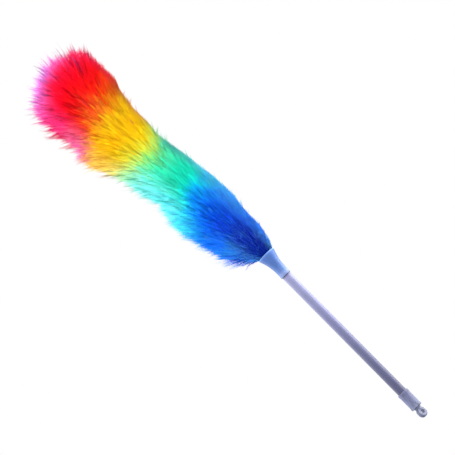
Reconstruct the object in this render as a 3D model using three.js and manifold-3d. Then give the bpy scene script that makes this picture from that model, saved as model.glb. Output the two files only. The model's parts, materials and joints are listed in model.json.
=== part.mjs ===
// Feather duster with a bendable head.
//
// A hollow plastic handle carries a flared ferrule at its upper end and an end cap with a swivelling
// hanging eye at its lower end. One steel wire, folded at the tip and twisted on itself, runs out of
// the ferrule and grips four batches of dyed fibre: blue, green, yellow and red. The twisted core can
// be bent by hand, so it is built as four stiff lengths with a pivot at the foot of each.
//
// Frame: millimetres, +Z up along the handle, the origin at the lower end of the hanging eye. The eye
// stands upright, turned about Z from the XZ plane. The head leans and hangs towards -X.

import * as THREE from "three";
import Module from "manifold-3d";
import { mergeVertices } from "three/addons/utils/BufferGeometryUtils.js";

const { degToRad, lerp } = THREE.MathUtils;
const FULL_TURN = Math.PI * 2;

// ---------------------------------------------------------------- driving dimensions, mm and degrees

const GAP = 0.3; // between pieces that touch on the real object

const EYE_CENTRE_Z = 6.6;
const EYE_R = 6.8; // outside radius of the hanging eye
const EYE_HOLE_R = 2.2;
const EYE_HALF_T = 2.5; // half its thickness
const EYE_HALF_FLAT = 0.9; // half width of the flat band round its outside
const EYE_TURN = 45; // about Z, from the XZ plane
const NECK_R = 3.6;
const COLLAR_R = 4.7; // round collar that bears on the end cap
const COLLAR_Z = 12.9;
const STEM_R = 2.0; // snap-in stem the eye turns on
const STEM_HOLE_R = 2.35;
const BARB_R = 3.3;
const BARB_TIP_R = 1.9;
const SLOT = { width: 0.9, depth: 8, height: 6 }; // splits the barb so that it can spring

const CAP_Z0 = 14.6;
const CAP_Z1 = 39.2;
const CAP_R = 7.4;
const CAP_FLOOR_Z = CAP_Z0 + 5.0; // upper face of the cap's floor
const CAP_CHAMBER_R = 4.9;

const TUBE_R = 6.0;
const TUBE_BORE_R = 4.8;
const TUBE_Z0 = 26.3;
const TUBE_Z1 = 255.8;
const TUBE_EDGE = 0.3; // chamfer
const SOCKET_R = TUBE_R + GAP;

const FERRULE_Z0 = 236.0;
const FERRULE_WEB_Z = TUBE_Z1 + GAP; // web the tube stops against
const FERRULE_WEB_HOLE_R = 3.4;
const FERRULE_Z1 = 270.2;
const MOUTH_R = 11.8;

const PLUG_R = 5.7;
const PLUG_BORE_R = 2.9;
const PLUG_Z0 = 257.9;
const PLUG_Z1 = 263.2;

const WIRE_R = 1.1;
const TWIST_R = 1.32; // from the core's axis to each strand's axis
const TWIST_PITCH = 15.0;
const FOLD_R = 1.75; // of the bend at the tip, to the wire's axis
const FOLD_SPREAD = 4; // below the fold, where the strands open out to it
const WIRE_ROOT_Z = PLUG_Z0 + 0.5;
const PIVOT_GAP = 1.2; // each length of core stops this far from a pivot

const FIRST_PIVOT_Z = 272.0;

// The four lengths of core, from the ferrule up; lean is from +Z towards -X at rest.
const CORE_LENGTHS = [
  { colour: "blue", length: 86.0, lean: 3.3 },
  { colour: "green", length: 74.0, lean: 5.4 },
  { colour: "yellow", length: 68.0, lean: 6.7 },
  { colour: "red", length: 60.0, lean: 4.6 },
];

const BEND = 20.0; // travel of each pivot either way
const BAND_HOLE_R = 3.3; // clear hole through a fibre band for the core
const FIRST_FACE_RISE = 15; // the lowest face of the fibre, upwards from square to the core
const SWEEP = 19.0; // the middle of the wedge between two bands, measured the same way
const HALF_WEDGE = BEND / 2 + 1.4; // leaves room for the bend and the change of lean
const FACE_GAP = 0.5;
const CROWN_DROP = 2; // the last band's side closes towards a face this far below the crown

// Pocket in the last band for the tip cap; heights are from the end of the core.
const POCKET_R = BAND_HOLE_R + 2.2;
const POCKET_MOUTH_Z = -11; // the core's hole starts to widen
const POCKET_WIDE_Z = -9;
const POCKET_TOP_Z = 6.4;

// Envelope of the combed fibre: height, centre in X, half width.
const ENVELOPE = [
  [272, -0.5, 12.5],
  [281, -5.0, 21.0],
  [295, -9.6, 28.6],
  [310, -12.0, 32.8],
  [324, -14.0, 34.0],
  [338, -15.2, 36.0],
  [353, -15.6, 38.6],
  [367, -16.6, 39.4],
  [382, -16.4, 38.2],
  [396, -16.4, 36.6],
  [410, -17.4, 36.0],
  [425, -19.8, 36.2],
  [439, -22.3, 36.6],
  [454, -25.0, 38.2],
  [468, -27.8, 40.4],
  [482, -31.0, 43.4],
  [497, -33.4, 45.6],
  [511, -32.8, 45.8],
  [526, -31.0, 45.8],
  [540, -30.4, 47.0],
  [554, -30.0, 49.6],
  [569, -30.0, 49.8],
  [583, -28.4, 48.0],
  [598, -24.0, 41.5],
  [607, -21.0, 31.0],
  [613, -20.0, 17.0],
  [616, -20.0, 0.0],
];
const [CROWN_Z, CROWN_X] = ENVELOPE[ENVELOPE.length - 1];

// Segments round a turned piece, and the divisions of the wire and the fibre.
const HANDLE_SEGMENTS = 32;
const SMALL_SEGMENTS = 24;
const TIP_CAP_SEGMENTS = 20;
const BAND_SEGMENTS = 24;
const BAND_SIDE_ROWS = 6;
const CROWN_SIDE_ROWS = 9;
const WIRE_CURVE_SEGMENTS = 4;
const STEPS_PER_TWIST = 7;
const EXTRA_FOLD_STEPS = 6;
const SETTLE_ROUNDS = 24; // rounds that settle the height of a point of fibre

// ---------------------------------------------------------------- materials

const plastic = ({ color, roughness }) =>
  new THREE.MeshStandardMaterial({ color, roughness, metalness: 0 });

const MATERIAL = {
  handle: plastic({ color: 0xa3a3c9, roughness: 0.42 }),
  cap: plastic({ color: 0x9aa0c4, roughness: 0.5 }),
  ferrule: plastic({ color: 0x7f9fd2, roughness: 0.38 }),
  plug: plastic({ color: 0xd9dbe2, roughness: 0.55 }),
  steel: new THREE.MeshStandardMaterial({ color: 0xb9bcc0, roughness: 0.35, metalness: 0.9 }),
  blue: plastic({ color: 0x0a46c8, roughness: 0.6 }),
  green: plastic({ color: 0x2fe0bc, roughness: 0.6 }),
  yellow: plastic({ color: 0xfcc111, roughness: 0.6 }),
  red: plastic({ color: 0xf8102e, roughness: 0.6 }),
};

// ---------------------------------------------------------------- helpers

const wasm = await Module();
wasm.setup();

// Turns an (r, z) outline about the Z axis. It runs up the outside and down the inside, and is closed
// here unless both its ends are on the axis.
function turned(outline, segments, startAngle = 0) {
  const points = outline.map(([r, z]) => new THREE.Vector2(r, z));
  const onAxis = points[0].x === 0 && points[points.length - 1].x === 0;
  if (!onAxis) points.push(points[0].clone());
  const geometry = new THREE.LatheGeometry(points, segments, startAngle, FULL_TURN);
  geometry.rotateX(Math.PI / 2);
  return geometry;
}

// A Manifold solid from a geometry, with its seams welded.
function solid(geometry) {
  const bare = geometry.clone();
  bare.deleteAttribute("normal");
  bare.deleteAttribute("uv");
  const welded = mergeVertices(bare, 1e-4);
  return new wasm.Manifold(
    new wasm.Mesh({
      numProp: 3,
      vertProperties: new Float32Array(welded.attributes.position.array),
      triVerts: new Uint32Array(welded.index.array),
    }),
  );
}

function geometryOf(manifold) {
  const { numVert, numProp, vertProperties, triVerts } = manifold.getMesh();
  const positions = new Float32Array(numVert * 3);
  for (let i = 0; i < numVert; i++) {
    positions.set(vertProperties.subarray(i * numProp, i * numProp + 3), i * 3);
  }
  const geometry = new THREE.BufferGeometry();
  geometry.setAttribute("position", new THREE.BufferAttribute(positions, 3));
  geometry.setIndex(new THREE.BufferAttribute(new Uint32Array(triVerts), 1));
  geometry.computeVertexNormals();
  return geometry;
}

function named(name, geometry, material) {
  const mesh = new THREE.Mesh(geometry, material);
  mesh.name = name;
  return mesh;
}

// ---------------------------------------------------------------- handle end: swivel eye, cap, tube

// Rounded ring, turned about its own axis, which lies square to Z and EYE_TURN from -Y.
function eyeRing() {
  const ring = turned(
    [
      [EYE_HOLE_R + 0.75, -EYE_HALF_T],
      [EYE_R - 1.55, -EYE_HALF_T],
      [EYE_R - 0.45, -EYE_HALF_T + 0.75],
      [EYE_R, -EYE_HALF_FLAT],
      [EYE_R, EYE_HALF_FLAT],
      [EYE_R - 0.45, EYE_HALF_T - 0.75],
      [EYE_R - 1.55, EYE_HALF_T],
      [EYE_HOLE_R + 0.75, EYE_HALF_T],
      [EYE_HOLE_R, EYE_HALF_T - 0.9],
      [EYE_HOLE_R, -EYE_HALF_T + 0.9],
    ],
    SMALL_SEGMENTS,
    Math.PI / SMALL_SEGMENTS,
  );
  ring.rotateX(Math.PI / 2);
  ring.rotateZ(degToRad(EYE_TURN));
  ring.translate(0, 0, EYE_CENTRE_Z);
  return ring;
}

// Neck, collar, stem and barb, from inside the ring upwards.
function eyeStem() {
  const footZ = EYE_CENTRE_Z + EYE_HOLE_R + 1.6;
  const tipZ = CAP_FLOOR_Z + 5.2;
  return turned(
    [
      [0, footZ],
      [NECK_R, footZ],
      [NECK_R, COLLAR_Z],
      [COLLAR_R, COLLAR_Z],
      [COLLAR_R, CAP_Z0 - GAP],
      [STEM_R, CAP_Z0 - GAP],
      [STEM_R, CAP_FLOOR_Z + GAP],
      [BARB_R, CAP_FLOOR_Z + GAP],
      [BARB_R, CAP_FLOOR_Z + 1.2],
      [BARB_TIP_R, tipZ],
      [0, tipZ],
    ],
    SMALL_SEGMENTS,
  );
}

function swivelEye() {
  const slot = new THREE.BoxGeometry(SLOT.width, SLOT.depth, SLOT.height);
  slot.rotateZ(degToRad(EYE_TURN));
  slot.translate(0, 0, CAP_FLOOR_Z + 3.8);

  // Trims the ring flat at z = 0.
  const trimHeight = 4;
  const trim = new THREE.BoxGeometry(20, 20, trimHeight);
  trim.translate(0, 0, -trimHeight / 2);

  return geometryOf(
    solid(eyeRing()).add(solid(eyeStem())).subtract(solid(slot)).subtract(solid(trim)),
  );
}

function endCap() {
  return turned(
    [
      [STEM_HOLE_R, CAP_Z0],
      [CAP_R - 0.6, CAP_Z0],
      [CAP_R - 0.1, CAP_Z0 + 0.5],
      [CAP_R, CAP_Z0 + 1.4],
      [CAP_R, CAP_Z1 - 1.4],
      [CAP_R - 0.15, CAP_Z1 - 0.6],
      [CAP_R - 0.55, CAP_Z1],
      [SOCKET_R, CAP_Z1],
      [SOCKET_R, TUBE_Z0 - GAP],
      [CAP_CHAMBER_R, TUBE_Z0 - GAP],
      [CAP_CHAMBER_R, CAP_FLOOR_Z],
      [STEM_HOLE_R, CAP_FLOOR_Z],
    ],
    HANDLE_SEGMENTS,
  );
}

function handleTube() {
  return turned(
    [
      [TUBE_R - TUBE_EDGE, TUBE_Z0],
      [TUBE_R, TUBE_Z0 + TUBE_EDGE],
      [TUBE_R, TUBE_Z1 - TUBE_EDGE],
      [TUBE_R - TUBE_EDGE, TUBE_Z1],
      [TUBE_BORE_R, TUBE_Z1],
      [TUBE_BORE_R, TUBE_Z0],
    ],
    HANDLE_SEGMENTS,
  );
}

// ---------------------------------------------------------------- head end: ferrule and anchor plug

// Outside of the ferrule below its mouth: radius, height above FERRULE_Z0.
const FERRULE_FLARE = [
  [7.0, 0.3],
  [7.2, 0.9],
  [7.2, 2.2],
  [6.95, 3.0],
  [6.9, 8],
  [7.0, 12],
  [7.35, 16],
  [7.95, 20],
  [8.85, 24],
  [9.95, 28],
  [11.1, 31.6],
];

function ferrule() {
  return turned(
    [
      [SOCKET_R + 0.25, FERRULE_Z0],
      ...FERRULE_FLARE.map(([r, rise]) => [r, FERRULE_Z0 + rise]),
      // Lip of the mouth.
      [MOUTH_R, FERRULE_Z0 + 33.4],
      [MOUTH_R - 0.1, FERRULE_Z1 - 0.3],
      [MOUTH_R - 0.5, FERRULE_Z1],
      [MOUTH_R - 1.1, FERRULE_Z1 - 0.4],
      // Funnel down to the plug's seat.
      [9.2, 266.3],
      [7.4, 263.9],
      [PLUG_R + GAP, 262.6],
      [PLUG_R + GAP, PLUG_Z0 - GAP],
      // Web, then the socket for the tube.
      [FERRULE_WEB_HOLE_R, PLUG_Z0 - GAP],
      [FERRULE_WEB_HOLE_R, FERRULE_WEB_Z],
      [SOCKET_R, FERRULE_WEB_Z],
      [SOCKET_R, FERRULE_Z0 + 0.3],
    ],
    HANDLE_SEGMENTS,
  );
}

function corePlug() {
  return turned(
    [
      [PLUG_R - 0.3, PLUG_Z0],
      [PLUG_R, PLUG_Z0 + 0.3],
      [PLUG_R, PLUG_Z1 - 1.2],
      [PLUG_R - 1.3, PLUG_Z1],
      [PLUG_BORE_R, PLUG_Z1],
      [PLUG_BORE_R, PLUG_Z0],
    ],
    SMALL_SEGMENTS,
  );
}

// ---------------------------------------------------------------- twisted wire core

// In the curves below, runAtOrigin is the length of twist wound by z = 0, counted from the first
// pivot, so that the twist carries on from one length of core to the next.
const twistAngle = (run) => (run / TWIST_PITCH) * FULL_TURN;

// One strand of the twist about +Z, from height z0 to z1. Side is 0 or 1.
class Strand extends THREE.Curve {
  constructor({ z0, z1, runAtOrigin, side }) {
    super();
    Object.assign(this, { z0, z1, runAtOrigin, side });
  }

  getPoint(t, target = new THREE.Vector3()) {
    const z = lerp(this.z0, this.z1, t);
    const angle = twistAngle(this.runAtOrigin + z) + this.side * Math.PI;
    return target.set(TWIST_R * Math.cos(angle), TWIST_R * Math.sin(angle), z);
  }
}

// Both strands of the last length as one wire: up, over the fold at the tip, and down again.
class FoldedWire extends THREE.Curve {
  constructor({ z0, z1, runAtOrigin }) {
    super();
    Object.assign(this, { z0, z1, runAtOrigin });
    this.rise = z1 - z0;
    this.fold = Math.PI * FOLD_R;
    this.total = 2 * this.rise + this.fold;
  }

  getPoint(t, target = new THREE.Vector3()) {
    const travelled = t * this.total;
    const pastRise = travelled - this.rise;
    if (pastRise > 0 && pastRise < this.fold) {
      const topAngle = twistAngle(this.runAtOrigin + this.z1);
      const foldAngle = pastRise / FOLD_R;
      const r = FOLD_R * Math.cos(foldAngle);
      return target.set(
        r * Math.cos(topAngle),
        r * Math.sin(topAngle),
        this.z1 + FOLD_R * Math.sin(foldAngle),
      );
    }
    const rising = pastRise <= 0;
    const z = rising ? this.z0 + travelled : this.z1 - (pastRise - this.fold);
    const angle = twistAngle(this.runAtOrigin + z) + (rising ? 0 : Math.PI);
    const opening = Math.max(0, 1 - (this.z1 - z) / FOLD_SPREAD);
    const r = lerp(TWIST_R, FOLD_R, opening * opening);
    return target.set(r * Math.cos(angle), r * Math.sin(angle), z);
  }
}

function wireAlong(curve, steps) {
  const section = new THREE.Shape();
  section.absarc(0, 0, WIRE_R, 0, FULL_TURN, false);
  return new THREE.ExtrudeGeometry(section, {
    steps,
    curveSegments: WIRE_CURVE_SEGMENTS,
    bevelEnabled: false,
    extrudePath: curve,
  });
}

const stepsFor = (length) => Math.ceil((length / TWIST_PITCH) * STEPS_PER_TWIST);

// The two strands of one length of core, as meshes.
function strandPair(suffix, { z0, z1, runAtOrigin }) {
  return ["a", "b"].map((label, side) => {
    const strand = new Strand({ z0, z1, runAtOrigin, side });
    const geometry = wireAlong(strand, stepsFor(z1 - z0));
    return named(`wire_${label}_${suffix}`, geometry, MATERIAL.steel);
  });
}

function foldedTip(length, runAtOrigin) {
  const curve = new FoldedWire({ z0: PIVOT_GAP, z1: length, runAtOrigin });
  return wireAlong(curve, stepsFor(curve.total) + EXTRA_FOLD_STEPS);
}

// Rounded cap over the fold, with a blind hole for the wire. Heights are from the end of the core.
function tipCap(length) {
  const turnedAtTip = (outline) =>
    turned(outline.map(([r, z]) => [r, length + z]), TIP_CAP_SEGMENTS);
  const body = turnedAtTip([
    [0, -6],
    [3.3, -6],
    [4.0, -5.2],
    [4.4, -1],
    [4.2, 2],
    [3.2, 4.2],
    [1.6, 5.3],
    [0, 5.6],
  ]);
  const hole = turnedAtTip([
    [0, -8],
    [3.0, -8],
    [3.0, 2.6],
    [1.4, 3.6],
    [0, 3.6],
  ]);
  return geometryOf(solid(body).subtract(solid(hole)));
}

// ---------------------------------------------------------------- fibre bands

// Centre in X and half width of the envelope at height z.
function envelope(z) {
  const [firstZ, firstCentre, firstHalf] = ENVELOPE[0];
  if (z <= firstZ) return [firstCentre, firstHalf];
  for (let i = 1; i < ENVELOPE.length; i++) {
    const [z0, centre0, half0] = ENVELOPE[i - 1];
    const [z1, centre1, half1] = ENVELOPE[i];
    if (z <= z1) {
      const t = (z - z0) / (z1 - z0);
      return [lerp(centre0, centre1, t), lerp(half0, half1, t)];
    }
  }
  return [CROWN_X, 0.01];
}

// Outline of a band's skin in (u, v): u runs from the core (0) out to the envelope (1), and v from
// the lower end face (0) to the upper one (1). The last band's side curves in towards the crown.
function bandOutline(last) {
  const outline = [[0, 0], [0.5, 0]];
  if (last) {
    for (let i = 0; i < CROWN_SIDE_ROWS; i++) {
      outline.push([1, Math.sin(((i / CROWN_SIDE_ROWS) * Math.PI) / 2)]);
    }
  } else {
    for (let i = 0; i < BAND_SIDE_ROWS; i++) outline.push([1, i / (BAND_SIDE_ROWS - 1)]);
    outline.push([0.5, 1], [0, 1]);
  }
  return outline;
}

// A band stands round one length of core, in that length's own frame. Its end faces are cones about
// the pivots, so it clears its neighbours through the whole bend.
function fibreBand({ length, lean, foot, first, last }) {
  const slope = (degrees) => Math.tan(degToRad(degrees));
  const lowerSlope = slope(first ? FIRST_FACE_RISE : SWEEP + HALF_WEDGE);
  const upperSlope = slope(SWEEP - HALF_WEDGE);
  const crown = (CROWN_Z - foot.z) / Math.cos(lean); // height of the crown along the core
  const axisX = (height) => foot.x - height * Math.sin(lean);

  // The envelope depends on the height and the end faces on the radius, so the height is settled
  // by steps.
  const place = (u, v, angle) => {
    let height = length * (0.2 + 0.7 * v);
    let x = 0;
    let y = 0;
    for (let k = 0; k < SETTLE_ROUNDS; k++) {
      const [centre, half] = envelope(foot.z + height * Math.cos(lean));
      const shift = centre - axisX(height);
      const r = lerp(BAND_HOLE_R, Math.max(half, BAND_HOLE_R), u);
      x = r * Math.cos(angle) + shift * u * u;
      y = r * Math.sin(angle);
      const fromCore = Math.hypot(x, y);
      const lower = FACE_GAP + fromCore * lowerSlope;
      const upper = last ? crown - CROWN_DROP : length - FACE_GAP + fromCore * upperSlope;
      height = lerp(height, lerp(lower, upper, v), 0.5);
    }
    return [x, y, height];
  };

  // Each ring gives its point at an angle round the core.
  const circle = (r, rise) => (angle) =>
    [r * Math.cos(angle), r * Math.sin(angle), length + rise];
  const skin = bandOutline(last).map(([u, v]) => (angle) => place(u, v, angle));
  const rings = last
    ? [
        circle(0, POCKET_TOP_Z),
        circle(POCKET_R, POCKET_TOP_Z),
        circle(POCKET_R, POCKET_WIDE_Z),
        circle(BAND_HOLE_R, POCKET_MOUTH_Z),
        ...skin,
        () => [CROWN_X - axisX(crown), 0, crown],
      ]
    : [...skin, skin[0]];

  // The lathe only supplies the mesh's order of points; then each point goes to its place.
  const profile = rings.map((ring, j) => new THREE.Vector2(1, j));
  const geometry = new THREE.LatheGeometry(profile, BAND_SEGMENTS);
  const position = geometry.attributes.position;
  for (let i = 0; i < position.count; i++) {
    const column = Math.floor(i / rings.length) % BAND_SEGMENTS;
    const angle = (column / BAND_SEGMENTS) * FULL_TURN;
    position.setXYZ(i, ...rings[i % rings.length](angle));
  }
  geometry.computeVertexNormals();
  return geometry;
}

// ---------------------------------------------------------------- assembly

const duster = new THREE.Group();
duster.add(
  named("swivel_eye", swivelEye(), MATERIAL.cap),
  named("end_cap", endCap(), MATERIAL.cap),
  named("handle_tube", handleTube(), MATERIAL.handle),
  named("ferrule", ferrule(), MATERIAL.ferrule),
  named("core_plug", corePlug(), MATERIAL.plug),
  ...strandPair("root", {
    z0: WIRE_ROOT_Z,
    z1: FIRST_PIVOT_Z - PIVOT_GAP,
    runAtOrigin: -FIRST_PIVOT_Z,
  }),
);

// Each length of core, with its fibre, is a group that turns about the pivot at its foot.
const foot = new THREE.Vector3(0, 0, FIRST_PIVOT_Z);
let run = 0;
CORE_LENGTHS.forEach(({ colour, length, lean: leanDegrees }, i) => {
  const lean = degToRad(leanDegrees);
  const first = i === 0;
  const last = i === CORE_LENGTHS.length - 1;

  const part = new THREE.Group();
  part.position.copy(foot);
  part.rotation.y = -lean;
  if (last) {
    part.add(
      named("wire_folded_tip", foldedTip(length, run), MATERIAL.steel),
      named("tip_cap", tipCap(length), MATERIAL.plug),
    );
  } else {
    const span = { z0: PIVOT_GAP, z1: length - PIVOT_GAP, runAtOrigin: run };
    part.add(...strandPair(i + 1, span));
  }
  const band = fibreBand({ length, lean, foot, first, last });
  part.add(named(`fibre_band_${colour}`, band, MATERIAL[colour]));
  duster.add(part);

  foot.x -= Math.sin(lean) * length;
  foot.z += Math.cos(lean) * length;
  run += length;
});

export default duster;
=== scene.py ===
"""Looks of a feather duster: moulded handle parts, and a head of separate dyed fibres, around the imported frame.

The handle stands along +Z on the Z axis, from the swivel eye near z = 0 to the ferrule. The head goes on upwards from
the ferrule and leans to -X. Its fibres hang loose on the -X side and are combed smooth on the +X side. Sizes are in mm
and become metres through MM where meshes are made.
"""

import json
import math
from types import SimpleNamespace

import bmesh
import bpy
import numpy as np
from mathutils import Matrix, Vector


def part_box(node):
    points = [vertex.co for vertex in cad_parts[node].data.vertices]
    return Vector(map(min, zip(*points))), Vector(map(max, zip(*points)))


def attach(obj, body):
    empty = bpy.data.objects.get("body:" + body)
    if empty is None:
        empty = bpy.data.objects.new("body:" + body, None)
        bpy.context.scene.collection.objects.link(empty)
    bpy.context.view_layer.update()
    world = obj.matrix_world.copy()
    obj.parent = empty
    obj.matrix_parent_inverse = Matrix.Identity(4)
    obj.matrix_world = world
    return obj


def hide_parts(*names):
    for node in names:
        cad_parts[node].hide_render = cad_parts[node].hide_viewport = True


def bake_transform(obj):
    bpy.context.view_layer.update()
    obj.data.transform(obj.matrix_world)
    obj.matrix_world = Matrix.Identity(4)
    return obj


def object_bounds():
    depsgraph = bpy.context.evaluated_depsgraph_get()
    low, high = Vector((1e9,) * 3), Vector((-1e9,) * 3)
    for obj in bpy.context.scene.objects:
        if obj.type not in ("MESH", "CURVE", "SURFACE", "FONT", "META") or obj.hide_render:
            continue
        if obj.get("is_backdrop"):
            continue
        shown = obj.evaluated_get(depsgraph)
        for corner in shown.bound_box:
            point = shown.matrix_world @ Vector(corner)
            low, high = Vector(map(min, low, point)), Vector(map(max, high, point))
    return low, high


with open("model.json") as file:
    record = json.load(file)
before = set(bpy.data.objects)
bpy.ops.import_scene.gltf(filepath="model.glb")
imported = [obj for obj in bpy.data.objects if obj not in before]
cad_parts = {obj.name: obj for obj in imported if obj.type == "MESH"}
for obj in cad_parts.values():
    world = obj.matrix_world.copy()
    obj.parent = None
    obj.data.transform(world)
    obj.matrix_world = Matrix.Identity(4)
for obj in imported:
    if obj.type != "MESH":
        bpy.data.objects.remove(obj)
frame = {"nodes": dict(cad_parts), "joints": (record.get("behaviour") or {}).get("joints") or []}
CAD_LOW, CAD_HIGH = (list(corner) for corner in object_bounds())
MM = 0.001

# ---------------------------------------------------------------- places, from the frame

JOINTS = {joint["name"]: joint for joint in frame["joints"]}
PIVOTS = [np.array(JOINTS[f"core_bend_{i}"]["pos_m"]) / MM for i in (1, 2, 3, 4)]


def mm_box(node):
    low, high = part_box(node)
    return np.array(low) / MM, np.array(high) / MM


EYE_LOW, EYE_HIGH = mm_box("swivel_eye")
CAP_LOW, CAP_HIGH = mm_box("end_cap")
TUBE_LOW, TUBE_HIGH = mm_box("handle_tube")
FERRULE_LOW, FERRULE_HIGH = mm_box("ferrule")
TIP_LOW, TIP_HIGH = mm_box("tip_cap")
CORE_END = np.array([(TIP_LOW[0] + TIP_HIGH[0]) / 2, 0.0, TIP_HIGH[2] - 5.6])
CORE = np.array([*PIVOTS, CORE_END])  # the core's bends and its end


# ---------------------------------------------------------------- materials

UV_NAME = "OFBake"
NOISE_SPAN = (0.3, 0.7)  # the part of a noise texture's values that is put to use


def srgb(*colour):
    """Linear RGBA of an sRGB colour given as 0 to 255."""
    out = []
    for v in colour:
        v = v / 255
        v = v / 12.92 if v <= 0.04045 else ((v + 0.055) / 1.055) ** 2.4
        out.append(min(max(v, 0.001), 0.96))
    return (*out, 1.0)


class Nodes:
    """Short names for building one material's tree."""

    def __init__(self, name):
        self.mat = bpy.data.materials.new(name)
        self.mat.use_nodes = True
        self.tree = self.mat.node_tree
        self.tree.nodes.clear()

    def add(self, kind, settings=None, **inputs):
        node = self.tree.nodes.new("ShaderNode" + kind)
        for key, value in (settings or {}).items():
            setattr(node, key, value)
        for key, value in inputs.items():
            self.put(node, key.replace("_", " "), value)
        return node

    def put(self, node, key, value):
        """Link or set one input, found by its name or its number."""
        socket = node.inputs[key]
        if isinstance(value, bpy.types.NodeSocket):
            self.tree.links.new(value, socket)
        else:
            socket.default_value = value

    def math(self, operation, a, b=0.5):
        node = self.add("Math", {"operation": operation})
        self.put(node, 0, a)
        self.put(node, 1, b)
        return node.outputs[0]

    def mix(self, share, a, b, blend="MIX"):
        node = self.add("Mix", {"data_type": "RGBA", "blend_type": blend})
        self.put(node, 0, share)
        self.put(node, 6, a)
        self.put(node, 7, b)
        return node.outputs[2]

    def ramp(self, value, stops, interpolation="LINEAR"):
        node = self.add("ValToRGB")
        node.color_ramp.interpolation = interpolation
        elements = node.color_ramp.elements
        while len(elements) > 1:
            elements.remove(elements[-1])
        for i, (position, colour) in enumerate(stops):
            element = elements[0] if i == 0 else elements.new(position)
            element.position, element.color = position, colour
        self.put(node, "Fac", value)
        return node.outputs["Color"]

    def remap(self, value, source, target=(0.0, 1.0), smooth=False):
        """Carry the source range over to the target range."""
        kind = "SMOOTHSTEP" if smooth else "LINEAR"
        node = self.add("MapRange", {"interpolation_type": kind}, Value=value)
        keys = ("From Min", "From Max", "To Min", "To Max")
        for key, limit in zip(keys, (*source, *target)):
            self.put(node, key, limit)
        return node.outputs["Result"]

    def noise(self, vector, scale, detail=3.0, rough=0.55):
        node = self.add("TexNoise", Vector=vector, Scale=scale, Detail=detail, Roughness=rough)
        return node.outputs["Fac"]

    def object_position(self):
        return self.add("TexCoord").outputs["Object"]

    def stretched(self, z_scale):
        """Object position, in metres, with Z scaled: a small number draws a pattern out along Z."""
        node = self.add("Mapping", Vector=self.object_position(), Scale=(1, 1, z_scale))
        return node.outputs["Vector"]

    def grey(self, value):
        return self.add("CombineColor", Red=value, Green=value, Blue=value).outputs[0]

    def bump(self, height, strength, distance, normal=None):
        node = self.add("Bump", Height=height, Strength=strength, Distance=distance)
        if normal is not None:
            self.put(node, "Normal", normal)
        return node.outputs["Normal"]

    def output(self, shader):
        self.add("OutputMaterial", Surface=shader.outputs[0])

    def mix_output(self, share, first, second):
        mix = self.add("MixShader", Fac=share)
        self.put(mix, 1, first.outputs[0])
        self.put(mix, 2, second.outputs[0])
        self.output(mix)


def moulded_plastic(name, stops, rough=0.42, streak=0.35, mottle=0.25, coat=0.0):
    """Injection-moulded or extruded plastic. stops: (height in mm, sRGB colour); on some pieces they also hold painted
    light and shade. Fine flow streaks run along the handle, with a faint mottle, and the sheen varies with the mottle."""
    m = Nodes(name)
    z = m.add("SeparateXYZ", Vector=m.object_position()).outputs["Z"]
    low, high = stops[0][0] * MM, stops[-1][0] * MM
    along = m.remap(z, (low, high))
    places = [((height * MM - low) / (high - low), srgb(*rgb)) for height, rgb in stops]
    colour = m.ramp(along, places, "B_SPLINE")
    flow = m.noise(m.stretched(0.035), scale=1500, detail=3.0, rough=0.6)
    cloud = m.noise(m.stretched(0.4), scale=260, detail=4.0, rough=0.6)
    flow_shade = m.remap(flow, NOISE_SPAN, (1 - 0.16 * streak, 1 + 0.12 * streak))
    cloud_shade = m.remap(cloud, NOISE_SPAN, (1 - 0.2 * mottle, 1 + 0.16 * mottle))
    shade = m.math("MULTIPLY", flow_shade, cloud_shade)
    colour = m.mix(1.0, colour, m.grey(shade), "MULTIPLY")
    roughness = m.remap(cloud, NOISE_SPAN, (rough - 0.07, rough + 0.09))
    grain = m.noise(m.stretched(1), scale=5200, detail=2.0, rough=0.5)
    normal = m.bump(grain, strength=0.10, distance=0.00005)
    normal = m.bump(flow, strength=0.22, distance=0.00006, normal=normal)
    plastic = m.add(
        "BsdfPrincipled",
        Base_Color=colour,
        Roughness=roughness,
        Normal=normal,
        IOR=1.47,
        Coat_Weight=coat,
        Coat_Roughness=0.18,
    )
    m.output(plastic)
    return m.mat


def steel(name):
    """Drawn wire: fine lines along Z, with darker spots."""
    m = Nodes(name)
    drawn = m.noise(m.stretched(0.08), scale=2600, detail=3.0, rough=0.6)
    spots = m.noise(m.stretched(1), scale=480, detail=4.0, rough=0.6)
    colour = m.mix(m.remap(spots, (0.42, 0.66)), srgb(186, 188, 192), srgb(132, 134, 140))
    metal = m.add(
        "BsdfPrincipled",
        Base_Color=colour,
        Metallic=1.0,
        Roughness=m.remap(drawn, NOISE_SPAN, (0.24, 0.42)),
        Normal=m.bump(drawn, strength=0.25, distance=0.00004),
    )
    m.output(metal)
    return m.mat
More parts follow.
